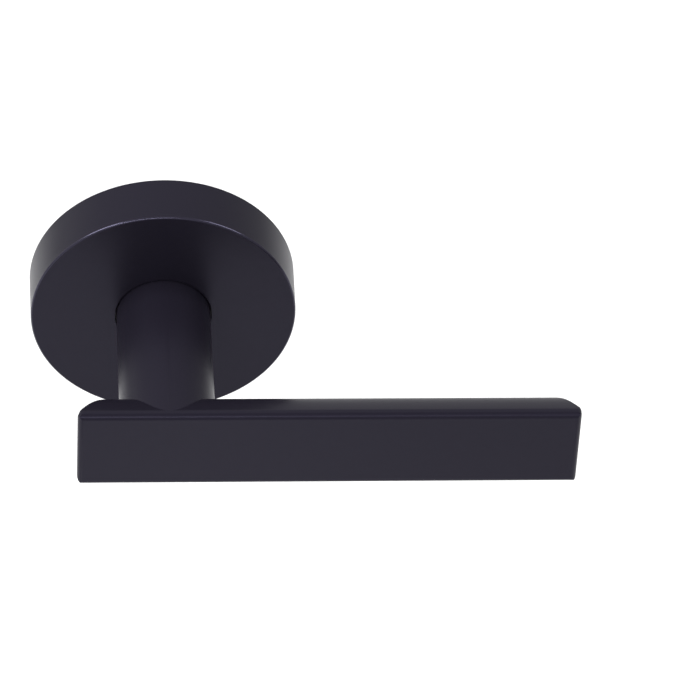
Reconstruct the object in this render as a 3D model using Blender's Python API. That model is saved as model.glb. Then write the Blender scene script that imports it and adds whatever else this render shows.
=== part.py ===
"""Lever handle on a round sprung rose: the outside half of a lever lockset.

The frame is metric and Z is up. The origin is on the spindle axis at the door face, +X runs along
the lever to its tip and -Y points out of the door, towards the hand. Every piece is one closed body.
"""

import math

import bmesh
import bpy
from mathutils import Matrix, Vector

MM = 0.001
GAP = 0.3 * MM

# Lever blade
LEVER_HEEL_X = -22.07 * MM
LEVER_TIP_X = 99.45 * MM
LEVER_HALF_HEIGHT = 11.70 * MM
LEVER_FRONT_Y = -60.70 * MM
FRONT_FILLET = 1.35 * MM
TOP_STRIP = 0.80 * MM
BACK_DEPTH = 9.20 * MM
BACK_DROP = 7.20 * MM
BACK_SLOPE = math.radians(17.0)
BACK_LEAD = 8.50 * MM
BACK_HOLD = 2.00 * MM
END_SWEEP_X = 11.0 * MM
HEEL_SWEEP_LEAD = (3.00 * MM, 5.14 * MM)
HEEL_SWEEP_HOLD = 5.08 * MM
TIP_SWEEP_LEAD = (3.30 * MM, 5.28 * MM)
TIP_SWEEP_HOLD = 6.98 * MM
TIP_SLANT = 0.45 * MM
LEVER_CREASE_ANGLE = math.radians(16.0)
HEEL_CORNERS = (1.40 * MM, 2.40 * MM)
TIP_CORNERS = (1.10 * MM, 1.60 * MM)

# Lever neck, its keyed tail and the spindle hole
NECK_R = 11.68 * MM
NECK_TOP_Y = -59.10 * MM
NECK_SHOULDER_Y = -8.90 * MM
TAIL_R = 8.60 * MM
TAIL_END_Y = 1.60 * MM
TAIL_FLAT_X = 7.50 * MM
RING_GROOVE_R = 7.85 * MM
RING_GROOVE_Y = (-1.00 * MM, 0.40 * MM)
SPINDLE_SIZE = 7.90 * MM
SPINDLE_HOLE = 8.20 * MM
SPINDLE_FRONT_Y = -36.00 * MM
SPINDLE_REAR_Y = 30.00 * MM
SET_SCREW_Y = -22.00 * MM
SET_SCREW_R = 2.45 * MM
SET_SCREW_HOLE_R = 2.60 * MM
SET_SCREW_SOCKET = 2.50 * MM

# Rose cover
COVER_R = 33.00 * MM
COVER_REAR_R = 33.17 * MM
COVER_DEPTH = 13.50 * MM
COVER_FACE = 1.40 * MM
COVER_INNER_R = 31.50 * MM
COVER_GROOVE_R = 32.10 * MM
COVER_EDGE = 0.50 * MM
NECK_HOLE_R = 12.00 * MM

# Spring housing
HOUSING_R = 31.20 * MM
HOUSING_FRONT_Y = -11.80 * MM
HOUSING_WEB_Y = -9.80 * MM
HOUSING_REAR_Y = -3.70 * MM
HOUSING_BORE_R = 12.95 * MM
RIM_INNER_R = 28.80 * MM
CHANNEL_R = 23.30 * MM
CHANNEL_WALL_R = 24.90 * MM
SNAP_Y = -6.50 * MM
SNAP_GROOVE_HALF = 1.00 * MM
SNAP_GROOVE_R = 30.10 * MM
SNAP_RING_R = 31.10 * MM
SNAP_WIRE_R = 0.70 * MM

# Return springs, driver and their stops
SPRING_ARC_R = 19.30 * MM
SPRING_COIL_R = 2.25 * MM
SPRING_WIRE_R = 0.50 * MM
SPRING_Y = -6.60 * MM
SPRING_TURNS = 12
SPRING_END_SQUEEZE = 0.12
STOP_HALF_ANGLE = math.radians(8.0)
STOP_R = (19.60 * MM, 24.00 * MM)
LUG_R = (13.00 * MM, 19.20 * MM)
DRIVER_R = 14.40 * MM
DRIVER_Y = (-8.60 * MM, -5.60 * MM)
LUG_REAR_Y = -4.20 * MM
TAB_R = (10.70 * MM, 13.30 * MM)
TAB_REAR_Y = -1.90 * MM
TURN_LIMIT = math.radians(45.0)

# Thrust washer and retaining ring on the tail
WASHER_R = (9.10 * MM, 12.20 * MM)
WASHER_THICKNESS = 0.40 * MM
RING_R = (8.00 * MM, 10.60 * MM)
RING_EAR_R = 12.00 * MM
RING_OPENING = math.radians(14.0)
RING_THICKNESS = 0.90 * MM

# Mounting plate, screws, posts and gasket
PLATE_R = 30.60 * MM
PLATE_Y = (-3.40 * MM, -1.80 * MM)
PLATE_BORE_R = 10.10 * MM
SCREW_CIRCLE_R = 26.90 * MM
SCREW_SHANK_R = 1.20 * MM
SCREW_HEAD_R = 2.60 * MM
BOSS_R = 2.90 * MM
POST_X = 19.00 * MM
POST_R = 4.00 * MM
POST_SHANK_R = 2.95 * MM
POST_END_Y = 18.00 * MM
POST_BORE_R = 1.70 * MM
POST_BORE_DEPTH = 14.00 * MM
GASKET_R = (13.70 * MM, 30.30 * MM)
GASKET_FRONT_Y = -1.50 * MM

ROUND = 60
COVER_ROUND = 84
WELD = 2e-6


def clear_scene():
    """Remove whatever the file holds, so that the part is the only thing in it."""
    for item in list(bpy.data.objects):
        bpy.data.objects.remove(item, do_unlink=True)


def material(name, colour, roughness, metallic):
    """Return a named surface material.

    Args:
        name: Name of the material.
        colour: Linear red, green and blue.
        roughness: Principled roughness.
        metallic: Principled metallic weight.
    """
    made = bpy.data.materials.new(name)
    made.use_nodes = True
    shader = made.node_tree.nodes["Principled BSDF"]
    shader.inputs["Base Color"].default_value = (*colour, 1.0)
    shader.inputs["Roughness"].default_value = roughness
    shader.inputs["Metallic"].default_value = metallic
    return made


def link(name, bm, surface, smooth=True):
    """Turn a bmesh into a linked object whose faces point outwards.

    Args:
        name: Name of the object.
        bm: The finished bmesh, which is freed.
        surface: Material of the object.
        smooth: Whether the round faces shade smooth.
    """
    bmesh.ops.recalc_face_normals(bm, faces=bm.faces)
    mesh = bpy.data.meshes.new(name)
    bm.to_mesh(mesh)
    bm.free()
    made = bpy.data.objects.new(name, mesh)
    bpy.context.scene.collection.objects.link(made)
    if surface is not None:
        mesh.materials.append(surface)
    if smooth:
        mesh.shade_smooth()
        mesh.set_sharp_from_angle(angle=math.radians(32.0))
    return made


def lathe(name, profile, surface, segments=ROUND, centre=(0.0, 0.0)):
    """Revolve a closed (radius, y) outline about an axis along Y.

    Args:
        name: Name of the object.
        profile: Corners of the outline in order; a solid one starts and ends on the axis.
        surface: Material of the object.
        segments: Number of steps round the axis.
        centre: X and Z of the axis.
    """
    bm = bmesh.new()
    rings = []
    for radius, y in profile:
        if radius < 1e-9:
            rings.append([bm.verts.new((centre[0], y, centre[1]))])
            continue
        ring = []
        for step in range(segments):
            turn = 2.0 * math.pi * step / segments
            x = centre[0] + radius * math.sin(turn)
            z = centre[1] + radius * math.cos(turn)
            ring.append(bm.verts.new((x, y, z)))
        rings.append(ring)
    on_axis = len(rings[0]) == 1
    pairs = list(zip(rings, rings[1:]))
    if not on_axis:
        pairs.append((rings[-1], rings[0]))
    for first, second in pairs:
        for step in range(segments):
            after = (step + 1) % segments
            corners = [first[step % len(first)], first[after % len(first)]]
            corners += [second[after % len(second)], second[step % len(second)]]
            unique = [v for place, v in enumerate(corners) if v not in corners[:place]]
            bm.faces.new(unique)
    return link(name, bm, surface)


def prism(name, outline, plane, low, high, surface):
    """Extrude a closed outline straight along the axis that its plane leaves out.

    Args:
        name: Name of the object.
        outline: Corners in the plane, in order.
        plane: "xz", "yz" or "xy".
        low: Start of the extrusion on the third axis.
        high: End of the extrusion on the third axis.
        surface: Material of the object.
    """
    place = {
        "xz": lambda a, b, c: (a, c, b),
        "yz": lambda a, b, c: (c, a, b),
        "xy": lambda a, b, c: (a, b, c),
    }[plane]
    bm = bmesh.new()
    start = [bm.verts.new(place(a, b, low)) for a, b in outline]
    end = [bm.verts.new(place(a, b, high)) for a, b in outline]
    bm.faces.new(start)
    bm.faces.new(end)
    count = len(outline)
    for step in range(count):
        after = (step + 1) % count
        bm.faces.new((start[step], start[after], end[after], end[step]))
    return link(name, bm, surface)


def sector(name, inner, outer, middle, half_angle, low, high, steps=4):
    """Make a ring segment about the spindle axis, used as a lug, a stop or a slot cutter.

    Args:
        name: Name of the object.
        inner: Inner radius.
        outer: Outer radius.
        middle: Angle of the segment's middle, from +X towards +Z.
        half_angle: Half of the angle it spans.
        low: Y of its front face.
        high: Y of its rear face.
        steps: Number of chords along each arc.
    """
    outline = []
    for radius, sign in ((outer, 1.0), (inner, -1.0)):
        for step in range(steps + 1):
            turn = middle + sign * half_angle * (2.0 * step / steps - 1.0)
            outline.append((radius * math.cos(turn), radius * math.sin(turn)))
    return prism(name, outline, "xz", low, high, None)


def combine(target, others, operation):
    """Apply an exact boolean of each other object to the target, and remove the others.

    Args:
        target: Object that keeps the result.
        others: Objects that are joined, cut away or intersected.
        operation: "UNION", "DIFFERENCE" or "INTERSECT".
    """
    for other in others:
        other.hide_render = True
        other.display_type = "WIRE"
        modifier = target.modifiers.new("combine", "BOOLEAN")
        modifier.operation = operation
        modifier.solver = "EXACT"
        modifier.object = other
        apply_modifiers(target)
        bpy.data.objects.remove(other, do_unlink=True)


def apply_modifiers(target):
    """Bake the target's modifiers into its mesh and drop the leftovers of coincident cuts."""
    surfaces = list(target.data.materials)
    graph = bpy.context.evaluated_depsgraph_get()
    baked = bpy.data.meshes.new_from_object(target.evaluated_get(graph))
    target.modifiers.clear()
    target.data = baked
    baked.materials.clear()
    for surface in surfaces:
        baked.materials.append(surface)
    bm = bmesh.new()
    bm.from_mesh(baked)
    bmesh.ops.remove_doubles(bm, verts=bm.verts, dist=WELD)
    bmesh.ops.dissolve_degenerate(bm, dist=1e-7, edges=bm.edges)
    bm.to_mesh(baked)
    bm.free()
    baked.shade_smooth()
    baked.set_sharp_from_angle(angle=math.radians(32.0))


def arc(centre, radius, start, end, steps):
    """Return points of a circular arc, both ends included."""
    points = []
    for step in range(steps + 1):
        turn = start + (end - start) * step / steps
        points.append((centre[0] + radius * math.cos(turn), centre[1] + radius * math.sin(turn)))
    return points


def curve(start, lead, hold, end, steps):
    """Return points of a cubic curve from start to end, pulled towards lead and hold on the way."""
    points = []
    for step in range(steps + 1):
        t = step / steps
        near = Vector(start) * (1 - t) ** 3 + Vector(lead) * 3 * t * (1 - t) ** 2
        point = near + Vector(hold) * 3 * t * t * (1 - t) + Vector(end) * t ** 3
        points.append((point.x, point.y))
    return points


def blade_section():
    """Return the lever blade's (y, z) outline: filleted front, flat edge strip and domed back."""
    top = LEVER_HALF_HEIGHT
    corner = (LEVER_FRONT_Y + FRONT_FILLET, top - FRONT_FILLET)
    upper = arc(corner, FRONT_FILLET, math.pi, math.pi / 2.0, 6)
    crease = Vector((LEVER_FRONT_Y + FRONT_FILLET + TOP_STRIP, top))
    lead = crease + Vector((math.cos(BACK_SLOPE), -math.sin(BACK_SLOPE))) * BACK_LEAD
    end = crease + Vector((BACK_DEPTH, -BACK_DROP))
    upper += curve(crease, lead, end + Vector((0.0, BACK_HOLD)), end, 10)
    return upper + [(y, -z) for y, z in reversed(upper)]


def blade_plan():
    """Return the lever blade's (x, y) outline: square front corners, ends swept in to the back."""
    strip_y = LEVER_FRONT_Y + FRONT_FILLET
    crease_y = strip_y + TOP_STRIP
    back_y = crease_y + BACK_DEPTH
    ends = (
        (LEVER_HEEL_X, 1.0, strip_y, HEEL_SWEEP_LEAD, HEEL_SWEEP_HOLD),
        (LEVER_TIP_X, -1.0, crease_y, TIP_SWEEP_LEAD, TIP_SWEEP_HOLD),
    )
    outline = []
    for end_x, inward, start_y, lead, hold in ends:
        side = []
        for step in range(7):
            turn = math.pi / 2.0 * step / 6
            x = end_x + inward * FRONT_FILLET * (1 - math.sin(turn))
            side.append((x, LEVER_FRONT_Y + FRONT_FILLET * (1 - math.cos(turn))))
        back_x = end_x + inward * END_SWEEP_X
        first = (end_x + inward * lead[0], start_y + lead[1])
        second = (back_x - inward * hold, back_y)
        sweep_line = curve((end_x, start_y), first, second, (back_x, back_y), 9)
        side += sweep_line if start_y > strip_y else sweep_line[1:]
        outline += side if inward > 0 else list(reversed(side))
    return outline


def blade_face():
    """Return the lever blade's (x, z) outline with its rounded corners and slightly slanted tip."""
    outline = []
    half = LEVER_HALF_HEIGHT
    corners = (
        (LEVER_TIP_X, half, TIP_CORNERS[0]),
        (LEVER_HEEL_X, half, HEEL_CORNERS[0]),
        (LEVER_HEEL_X, -half, HEEL_CORNERS[1]),
        (LEVER_TIP_X + TIP_SLANT, -half, TIP_CORNERS[1]),
    )
    for place, (x, z, radius) in enumerate(corners):
        start = place / 2.0
        centre = (x - math.copysign(radius, x), z - math.copysign(radius, z))
        outline += arc(centre, radius, start * math.pi, (start + 0.5) * math.pi, 6)
    return outline


def build_lever(surface):
    """Build the one-piece cast lever: blade, neck, keyed tail and its spindle and screw holes."""
    blade = prism("lever_handle", blade_section(), "yz", LEVER_HEEL_X - MM, LEVER_TIP_X + MM, surface)
    plan = prism("plan", blade_plan(), "xy", -LEVER_HALF_HEIGHT * 2, LEVER_HALF_HEIGHT * 2, None)
    for vertex in plan.data.vertices:
        if vertex.co.x > LEVER_TIP_X / 2.0:
            vertex.co.x += TIP_SLANT * (0.5 - 0.5 * vertex.co.z / LEVER_HALF_HEIGHT)
    face = prism("face", blade_face(), "xz", LEVER_FRONT_Y - MM, LEVER_FRONT_Y + 30 * MM, None)
    combine(blade, [plan, face], "INTERSECT")
    profile = [(0.0, NECK_TOP_Y), (NECK_R, NECK_TOP_Y), (NECK_R, NECK_SHOULDER_Y)]
    profile += [(TAIL_R, NECK_SHOULDER_Y), (TAIL_R, RING_GROOVE_Y[0])]
    profile += [(RING_GROOVE_R, RING_GROOVE_Y[0]), (RING_GROOVE_R, RING_GROOVE_Y[1])]
    profile += [(TAIL_R, RING_GROOVE_Y[1])]
    profile += [(TAIL_R, TAIL_END_Y - 0.4 * MM), (TAIL_R - 0.4 * MM, TAIL_END_Y), (0.0, TAIL_END_Y)]
    neck = lathe("neck", profile, None)
    combine(blade, [neck], "UNION")
    cutters = []
    for side in (1.0, -1.0):
        near = side * TAIL_FLAT_X
        far = side * TAIL_R * 2
        half = TAIL_R * 1.5
        outline = [(near, -half), (far, -half), (far, half), (near, half)]
        cutters.append(prism("flat", outline, "xz", NECK_SHOULDER_Y, TAIL_END_Y + MM, None))
    half = SPINDLE_HOLE / 2.0
    square = [(-half, -half), (half, -half), (half, half), (-half, half)]
    cutters.append(prism("hole", square, "xz", SPINDLE_FRONT_Y - GAP, TAIL_END_Y + MM, None))
    screw_hole = arc((0.0, SET_SCREW_Y), SET_SCREW_HOLE_R, 0.0, 2.0 * math.pi, 24)[:-1]
    cutters.append(prism("screw_hole", screw_hole, "xy", -NECK_R * 1.4, 0.0, None))
    combine(blade, cutters, "DIFFERENCE")
    blade.data.set_sharp_from_angle(angle=LEVER_CREASE_ANGLE)
    return blade


def build_cover(surface):
    """Build the turned cup that covers the rose, with the groove its snap ring springs into."""
    front = -COVER_DEPTH
    inner_face = front + COVER_FACE
    outer = arc((COVER_R - COVER_EDGE, front + COVER_EDGE), COVER_EDGE, -math.pi / 2.0, 0.0, 3)
    profile = [(NECK_HOLE_R, front)] + outer
    profile += [(COVER_REAR_R, 0.0), (COVER_INNER_R, 0.0), (COVER_INNER_R, SNAP_Y + SNAP_GROOVE_HALF)]
    profile += [(COVER_GROOVE_R, SNAP_Y + SNAP_GROOVE_HALF * 0.7)]
    profile += [(COVER_GROOVE_R, SNAP_Y - SNAP_GROOVE_HALF * 0.7)]
    profile += [(COVER_INNER_R, SNAP_Y - SNAP_GROOVE_HALF)]
    profile += [(COVER_INNER_R, inner_face), (NECK_HOLE_R, inner_face)]
    return lathe("rose_cover", profile, surface, segments=COVER_ROUND)


def screw_places():
    """Return the x, z and angle of the four screws that hold the plate to the housing."""
    turns = [math.radians(45.0 + 90.0 * step) for step in range(4)]
    return [(SCREW_CIRCLE_R * math.cos(t), SCREW_CIRCLE_R * math.sin(t), t) for t in turns]


def build_housing(surface):
    """Build the cast housing: front web, rim, spring channel, screw bosses and spring stops."""
    profile = [(HOUSING_BORE_R, HOUSING_FRONT_Y), (HOUSING_R - 0.5 * MM, HOUSING_FRONT_Y)]
    profile += [(HOUSING_R, HOUSING_FRONT_Y + 0.5 * MM), (HOUSING_R, SNAP_Y - SNAP_GROOVE_HALF)]
    profile += [(SNAP_GROOVE_R, SNAP_Y - SNAP_GROOVE_HALF), (SNAP_GROOVE_R, SNAP_Y + SNAP_GROOVE_HALF)]
    profile += [(HOUSING_R, SNAP_Y + SNAP_GROOVE_HALF), (HOUSING_R, HOUSING_REAR_Y)]
    profile += [(RIM_INNER_R, HOUSING_REAR_Y), (RIM_INNER_R, HOUSING_WEB_Y)]
    profile += [(CHANNEL_WALL_R, HOUSING_WEB_Y), (CHANNEL_WALL_R, HOUSING_REAR_Y)]
    profile += [(CHANNEL_R, HOUSING_REAR_Y), (CHANNEL_R, HOUSING_WEB_Y)]
    profile += [(HOUSING_BORE_R, HOUSING_WEB_Y)]
    housing = lathe("spring_housing", profile, surface)
    extra = []
    low = HOUSING_WEB_Y - 0.8 * MM
    high = HOUSING_REAR_Y - 0.05 * MM
    for x, z, _turn in screw_places():
        boss = [(0.0, low), (BOSS_R, low), (BOSS_R, high), (0.0, high)]
        extra.append(lathe("boss", boss, None, segments=16, centre=(x, z)))
    for turn in (math.pi / 2.0, -math.pi / 2.0):
        extra.append(sector("stop", STOP_R[0], STOP_R[1], turn, STOP_HALF_ANGLE, low, high))
    combine(housing, extra, "UNION")
    holes = []
    for x, z, _turn in screw_places():
        outline = arc((x, z), SCREW_SHANK_R + 0.1 * MM, 0.0, 2.0 * math.pi, 12)[:-1]
        holes.append(prism("hole", outline, "xz", HOUSING_WEB_Y - 0.2 * MM, HOUSING_REAR_Y + MM, None))
    combine(housing, holes, "DIFFERENCE")
    return housing


def build_bushes(surface):
    """Build the two acetal bushes that the neck and its tail turn in."""
    front = HOUSING_FRONT_Y
    flange_front = HOUSING_WEB_Y + GAP
    rear = NECK_SHOULDER_Y
    profile = [(NECK_R + 0.12 * MM, front), (HOUSING_BORE_R - 0.1 * MM, front)]
    profile += [(HOUSING_BORE_R - 0.1 * MM, flange_front), (14.9 * MM, flange_front), (14.9 * MM, rear)]
    profile += [(NECK_R + 0.12 * MM, rear)]
    lathe("neck_bush", profile, surface)
    front = DRIVER_Y[1] + GAP
    step = PLATE_Y[0] - GAP
    profile = [(TAIL_R + 0.12 * MM, front), (10.40 * MM, front), (10.40 * MM, step)]
    profile += [(PLATE_BORE_R - 0.2 * MM, step), (PLATE_BORE_R - 0.2 * MM, PLATE_Y[1])]
    profile += [(TAIL_R + 0.12 * MM, PLATE_Y[1])]
    lathe("tail_bush", profile, surface)


def build_driver(surface):
    """Build the keyed driver: hub, two spring lugs and two tabs that stop the turn."""
    front, rear = DRIVER_Y
    profile = [(6.0 * MM, front), (DRIVER_R, front), (DRIVER_R, rear), (6.0 * MM, rear)]
    driver = lathe("spring_driver", profile, surface)
    parts = []
    half = STOP_HALF_ANGLE
    for turn in (math.pi / 2.0, -math.pi / 2.0):
        parts.append(sector("lug", *LUG_R, turn, half, front + 0.05 * MM, LUG_REAR_Y))
    for turn in (0.0, math.pi):
        parts.append(sector("tab", *TAB_R, turn, half, front + MM, TAB_REAR_Y))
    combine(driver, parts, "UNION")
    outline = []
    radius = TAIL_R + 0.12 * MM
    flat = TAIL_FLAT_X + 0.12 * MM
    reach = math.acos(flat / radius)
    for middle in (math.pi / 2.0, -math.pi / 2.0):
        spread = math.pi / 2.0 - reach
        outline += arc((0.0, 0.0), radius, middle - spread, middle + spread, 16)
    combine(driver, [prism("key", outline, "xz", front - MM, rear + MM, None)], "DIFFERENCE")
    return driver


def build_spring(name, middle, surface):
    """Build a wire spring that is coiled along an arc between the top and bottom stops.

    Args:
        name: Name of the object.
        middle: Angle of the arc's middle, from +X towards +Z.
        surface: Material of the wire.
    """
    clearance = math.asin((SPRING_WIRE_R + GAP) / SPRING_ARC_R)
    half = math.pi / 2.0 - STOP_HALF_ANGLE - clearance
    per_turn = 10
    count = SPRING_TURNS * per_turn
    centres = []
    for step in range(count + 1):
        t = step / count
        along = middle + half * (2.0 * t - 1.0 - SPRING_END_SQUEEZE * math.sin(2.0 * math.pi * t))
        coil = 2.0 * math.pi * SPRING_TURNS * t
        radius = SPRING_ARC_R + SPRING_COIL_R * math.cos(coil)
        y = SPRING_Y + SPRING_COIL_R * math.sin(coil)
        centres.append(Vector((radius * math.cos(along), y, radius * math.sin(along))))
    return sweep(name, centres, SPRING_WIRE_R, 5, surface)


def sweep(name, centres, radius, sides, surface):
    """Sweep a round wire along a line of centres and cap both of its ends.

    Args:
        name: Name of the object.
        centres: Points along the middle of the wire.
        radius: Radius of the wire.
        sides: Number of flats round the wire.
        surface: Material of the wire.
    """
    bm = bmesh.new()
    rings = []
    side = None
    for place, centre in enumerate(centres):
        before = centres[max(place - 1, 0)]
        after = centres[min(place + 1, len(centres) - 1)]
        forward = (after - before).normalized()
        if side is None:
            side = forward.orthogonal().normalized()
        side = (side - forward * side.dot(forward)).normalized()
        up = forward.cross(side)
        ring = []
        for step in range(sides):
            turn = 2.0 * math.pi * step / sides
            ring.append(bm.verts.new(centre + (side * math.cos(turn) + up * math.sin(turn)) * radius))
        rings.append(ring)
    for first, second in zip(rings, rings[1:]):
        for step in range(sides):
            after = (step + 1) % sides
            bm.faces.new((first[step], first[after], second[after], second[step]))
    bm.faces.new(rings[0])
    bm.faces.new(rings[-1])
    return link(name, bm, surface)


def build_snap_ring(surface):
    """Build the open wire ring that sits in the housing's groove and grips the cover."""
    centres = []
    opening = math.radians(7.0)
    steps = 60
    for step in range(steps + 1):
        turn = -math.pi / 2.0 + opening + (2.0 * math.pi - 2.0 * opening) * step / steps
        centres.append(Vector((SNAP_RING_R * math.cos(turn), SNAP_Y, SNAP_RING_R * math.sin(turn))))
    return sweep("cover_snap_ring", centres, SNAP_WIRE_R, 6, surface)


def build_plate(surface):
    """Build the pressed steel plate: bore, turn slots, post holes and screw holes."""
    front, rear = PLATE_Y
    profile = [(PLATE_BORE_R, front), (PLATE_R, front), (PLATE_R, rear), (PLATE_BORE_R, rear)]
    plate = lathe("mounting_plate", profile, surface)
    cutters = []
    slot_half = TURN_LIMIT + STOP_HALF_ANGLE + math.radians(1.5)
    for turn in (0.0, math.pi):
        inner = TAB_R[0] - GAP
        outer = TAB_R[1] + GAP
        cutters.append(sector("slot", inner, outer, turn, slot_half, front - MM, rear + MM, steps=14))
    for side in (-1.0, 1.0):
        outline = arc((side * POST_X, 0.0), POST_SHANK_R + 0.2 * MM, 0.0, 2.0 * math.pi, 20)[:-1]
        cutters.append(prism("hole", outline, "xz", front - MM, rear + MM, None))
    for x, z, _turn in screw_places():
        outline = arc((x, z), SCREW_SHANK_R + 0.35 * MM, 0.0, 2.0 * math.pi, 12)[:-1]
        cutters.append(prism("hole", outline, "xz", front - MM, rear + MM, None))
    combine(plate, cutters, "DIFFERENCE")
    return plate


def build_plate_screw(name, x, z, turn, surface):
    """Build one pan head screw with a cross recess.

    Args:
        name: Name of the object.
        x: X of its axis.
        z: Z of its axis.
        turn: Angle that its recess is turned to.
        surface: Material of the screw.
    """
    seat = PLATE_Y[1] + GAP
    head = 1.15 * MM
    tip = HOUSING_WEB_Y + 0.4 * MM
    profile = [(0.0, tip), (SCREW_SHANK_R * 0.6, tip), (SCREW_SHANK_R, tip + 0.5 * MM)]
    profile += [(SCREW_SHANK_R, seat), (SCREW_HEAD_R, seat), (SCREW_HEAD_R, seat + 0.6 * head)]
    profile += [(SCREW_HEAD_R * 0.7, seat + head), (0.0, seat + head)]
    screw = lathe(name, profile, surface, segments=16, centre=(x, z))
    cutters = []
    for extra in (0.0, math.pi / 2.0):
        along = Vector((math.cos(turn + extra), math.sin(turn + extra)))
        across = Vector((-along.y, along.x))
        middle = Vector((x, z))
        outline = []
        for a, b in ((-1.3, -0.28), (1.3, -0.28), (1.3, 0.28), (-1.3, 0.28)):
            point = middle + along * a * MM + across * b * MM
            outline.append((point.x, point.y))
        cutters.append(prism("recess", outline, "xz", seat + 0.45 * head, seat + head + MM, None))
    combine(screw, cutters, "DIFFERENCE")
    return screw


def build_post(name, x, surface):
    """Build one threaded post that a through-bolt from the inside half screws into.

    Args:
        name: Name of the object.
        x: X of its axis.
        surface: Material of the post.
    """
    seat = PLATE_Y[1] + GAP
    tip = PLATE_Y[0] + 0.1 * MM
    chamfer = 0.5 * MM
    floor = POST_END_Y - POST_BORE_DEPTH
    profile = [(0.0, tip), (POST_SHANK_R, tip), (POST_SHANK_R, seat), (POST_R, seat)]
    profile += [(POST_R, POST_END_Y - chamfer), (POST_R - chamfer, POST_END_Y)]
    profile += [(POST_BORE_R + 0.4 * MM, POST_END_Y), (POST_BORE_R, POST_END_Y - 0.4 * MM)]
    profile += [(POST_BORE_R, floor), (0.0, floor - 1.0 * MM)]
    return lathe(name, profile, surface, segments=20, centre=(x, 0.0))


def build_gasket(surface):
    """Build the soft pad between the plate and the door, cleared for posts and screw heads."""
    inner, outer = GASKET_R
    profile = [(inner, GASKET_FRONT_Y), (outer, GASKET_FRONT_Y), (outer, 0.0), (inner, 0.0)]
    gasket = lathe("door_gasket", profile, surface)
    cutters = []
    for side in (-1.0, 1.0):
        outline = arc((side * POST_X, 0.0), POST_R + 0.4 * MM, 0.0, 2.0 * math.pi, 20)[:-1]
        cutters.append(prism("hole", outline, "xz", GASKET_FRONT_Y - MM, MM, None))
    for x, z, _turn in screw_places():
        outline = arc((x, z), SCREW_HEAD_R + 0.4 * MM, 0.0, 2.0 * math.pi, 12)[:-1]
        cutters.append(prism("hole", outline, "xz", GASKET_FRONT_Y - MM, MM, None))
    combine(gasket, cutters, "DIFFERENCE")
    return gasket


def build_spindle(surface):
    """Build the square spindle that carries the lever's turn through the door."""
    half = SPINDLE_SIZE / 2.0
    bevel = 0.5 * MM
    outline = []
    for sx, sz in ((1, 1), (-1, 1), (-1, -1), (1, -1)):
        first = (sx * half, sz * (half - bevel))
        second = (sx * (half - bevel), sz * half)
        outline += [first, second] if sx * sz > 0 else [second, first]
    return prism("spindle", outline, "xz", SPINDLE_FRONT_Y, SPINDLE_REAR_Y, surface)


def build_set_screw(surface):
    """Build the socket set screw that clamps the spindle, in the underside of the neck."""
    top = -SPINDLE_SIZE / 2.0 - GAP
    bottom = -NECK_R + 0.7 * MM
    outline = arc((0.0, SET_SCREW_Y), SET_SCREW_R, 0.0, 2.0 * math.pi, 24)[:-1]
    screw = prism("spindle_set_screw", outline, "xy", bottom, top, surface)
    socket = arc((0.0, SET_SCREW_Y), SET_SCREW_SOCKET / math.sqrt(3.0), 0.0, 2.0 * math.pi, 6)[:-1]
    cutter = prism("socket", socket, "xy", bottom - MM, bottom + 2.8 * MM, None)
    combine(screw, [cutter], "DIFFERENCE")
    return screw


def build_washer(surface):
    """Build the thrust washer that turns against the back of the plate."""
    front = PLATE_Y[1] + GAP
    rear = front + WASHER_THICKNESS
    profile = [(WASHER_R[0], front), (WASHER_R[1], front), (WASHER_R[1], rear), (WASHER_R[0], rear)]
    return lathe("thrust_washer", profile, surface, segments=40)


def build_retaining_ring(surface):
    """Build the open ring, with its two pliers ears, that keeps the lever in the rose."""
    first = -math.pi / 2.0 + RING_OPENING
    last = 1.5 * math.pi - RING_OPENING
    ear = math.radians(13.0)
    outline = arc((0.0, 0.0), RING_EAR_R, first, first + ear, 2)
    outline += arc((0.0, 0.0), RING_R[1], first + ear * 1.1, last - ear * 1.1, 32)
    outline += arc((0.0, 0.0), RING_EAR_R, last - ear, last, 2)
    outline += arc((0.0, 0.0), RING_R[0], last, first, 32)
    front = PLATE_Y[1] + GAP + WASHER_THICKNESS + GAP
    ring = prism("retaining_ring", outline, "xz", front, front + RING_THICKNESS, surface)
    holes = []
    for turn in (first + ear / 2.0, last - ear / 2.0):
        middle = (10.3 * MM * math.cos(turn), 10.3 * MM * math.sin(turn))
        hole = arc(middle, 0.65 * MM, 0.0, 2.0 * math.pi, 10)[:-1]
        holes.append(prism("hole", hole, "xz", front - MM, front + 2.0 * MM, None))
    combine(ring, holes, "DIFFERENCE")
    return ring


def place_origins(turning):
    """Put the lever group under an empty on the spindle axis, where the turning joint is."""
    pivot = bpy.data.objects.new("lever_axis", None)
    bpy.context.scene.collection.objects.link(pivot)
    pivot.location = (0.0, 0.0, 0.0)
    bpy.context.view_layer.update()
    for name in turning:
        item = bpy.data.objects[name]
        item.parent = pivot
        item.matrix_parent_inverse = Matrix.Identity(4)


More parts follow.
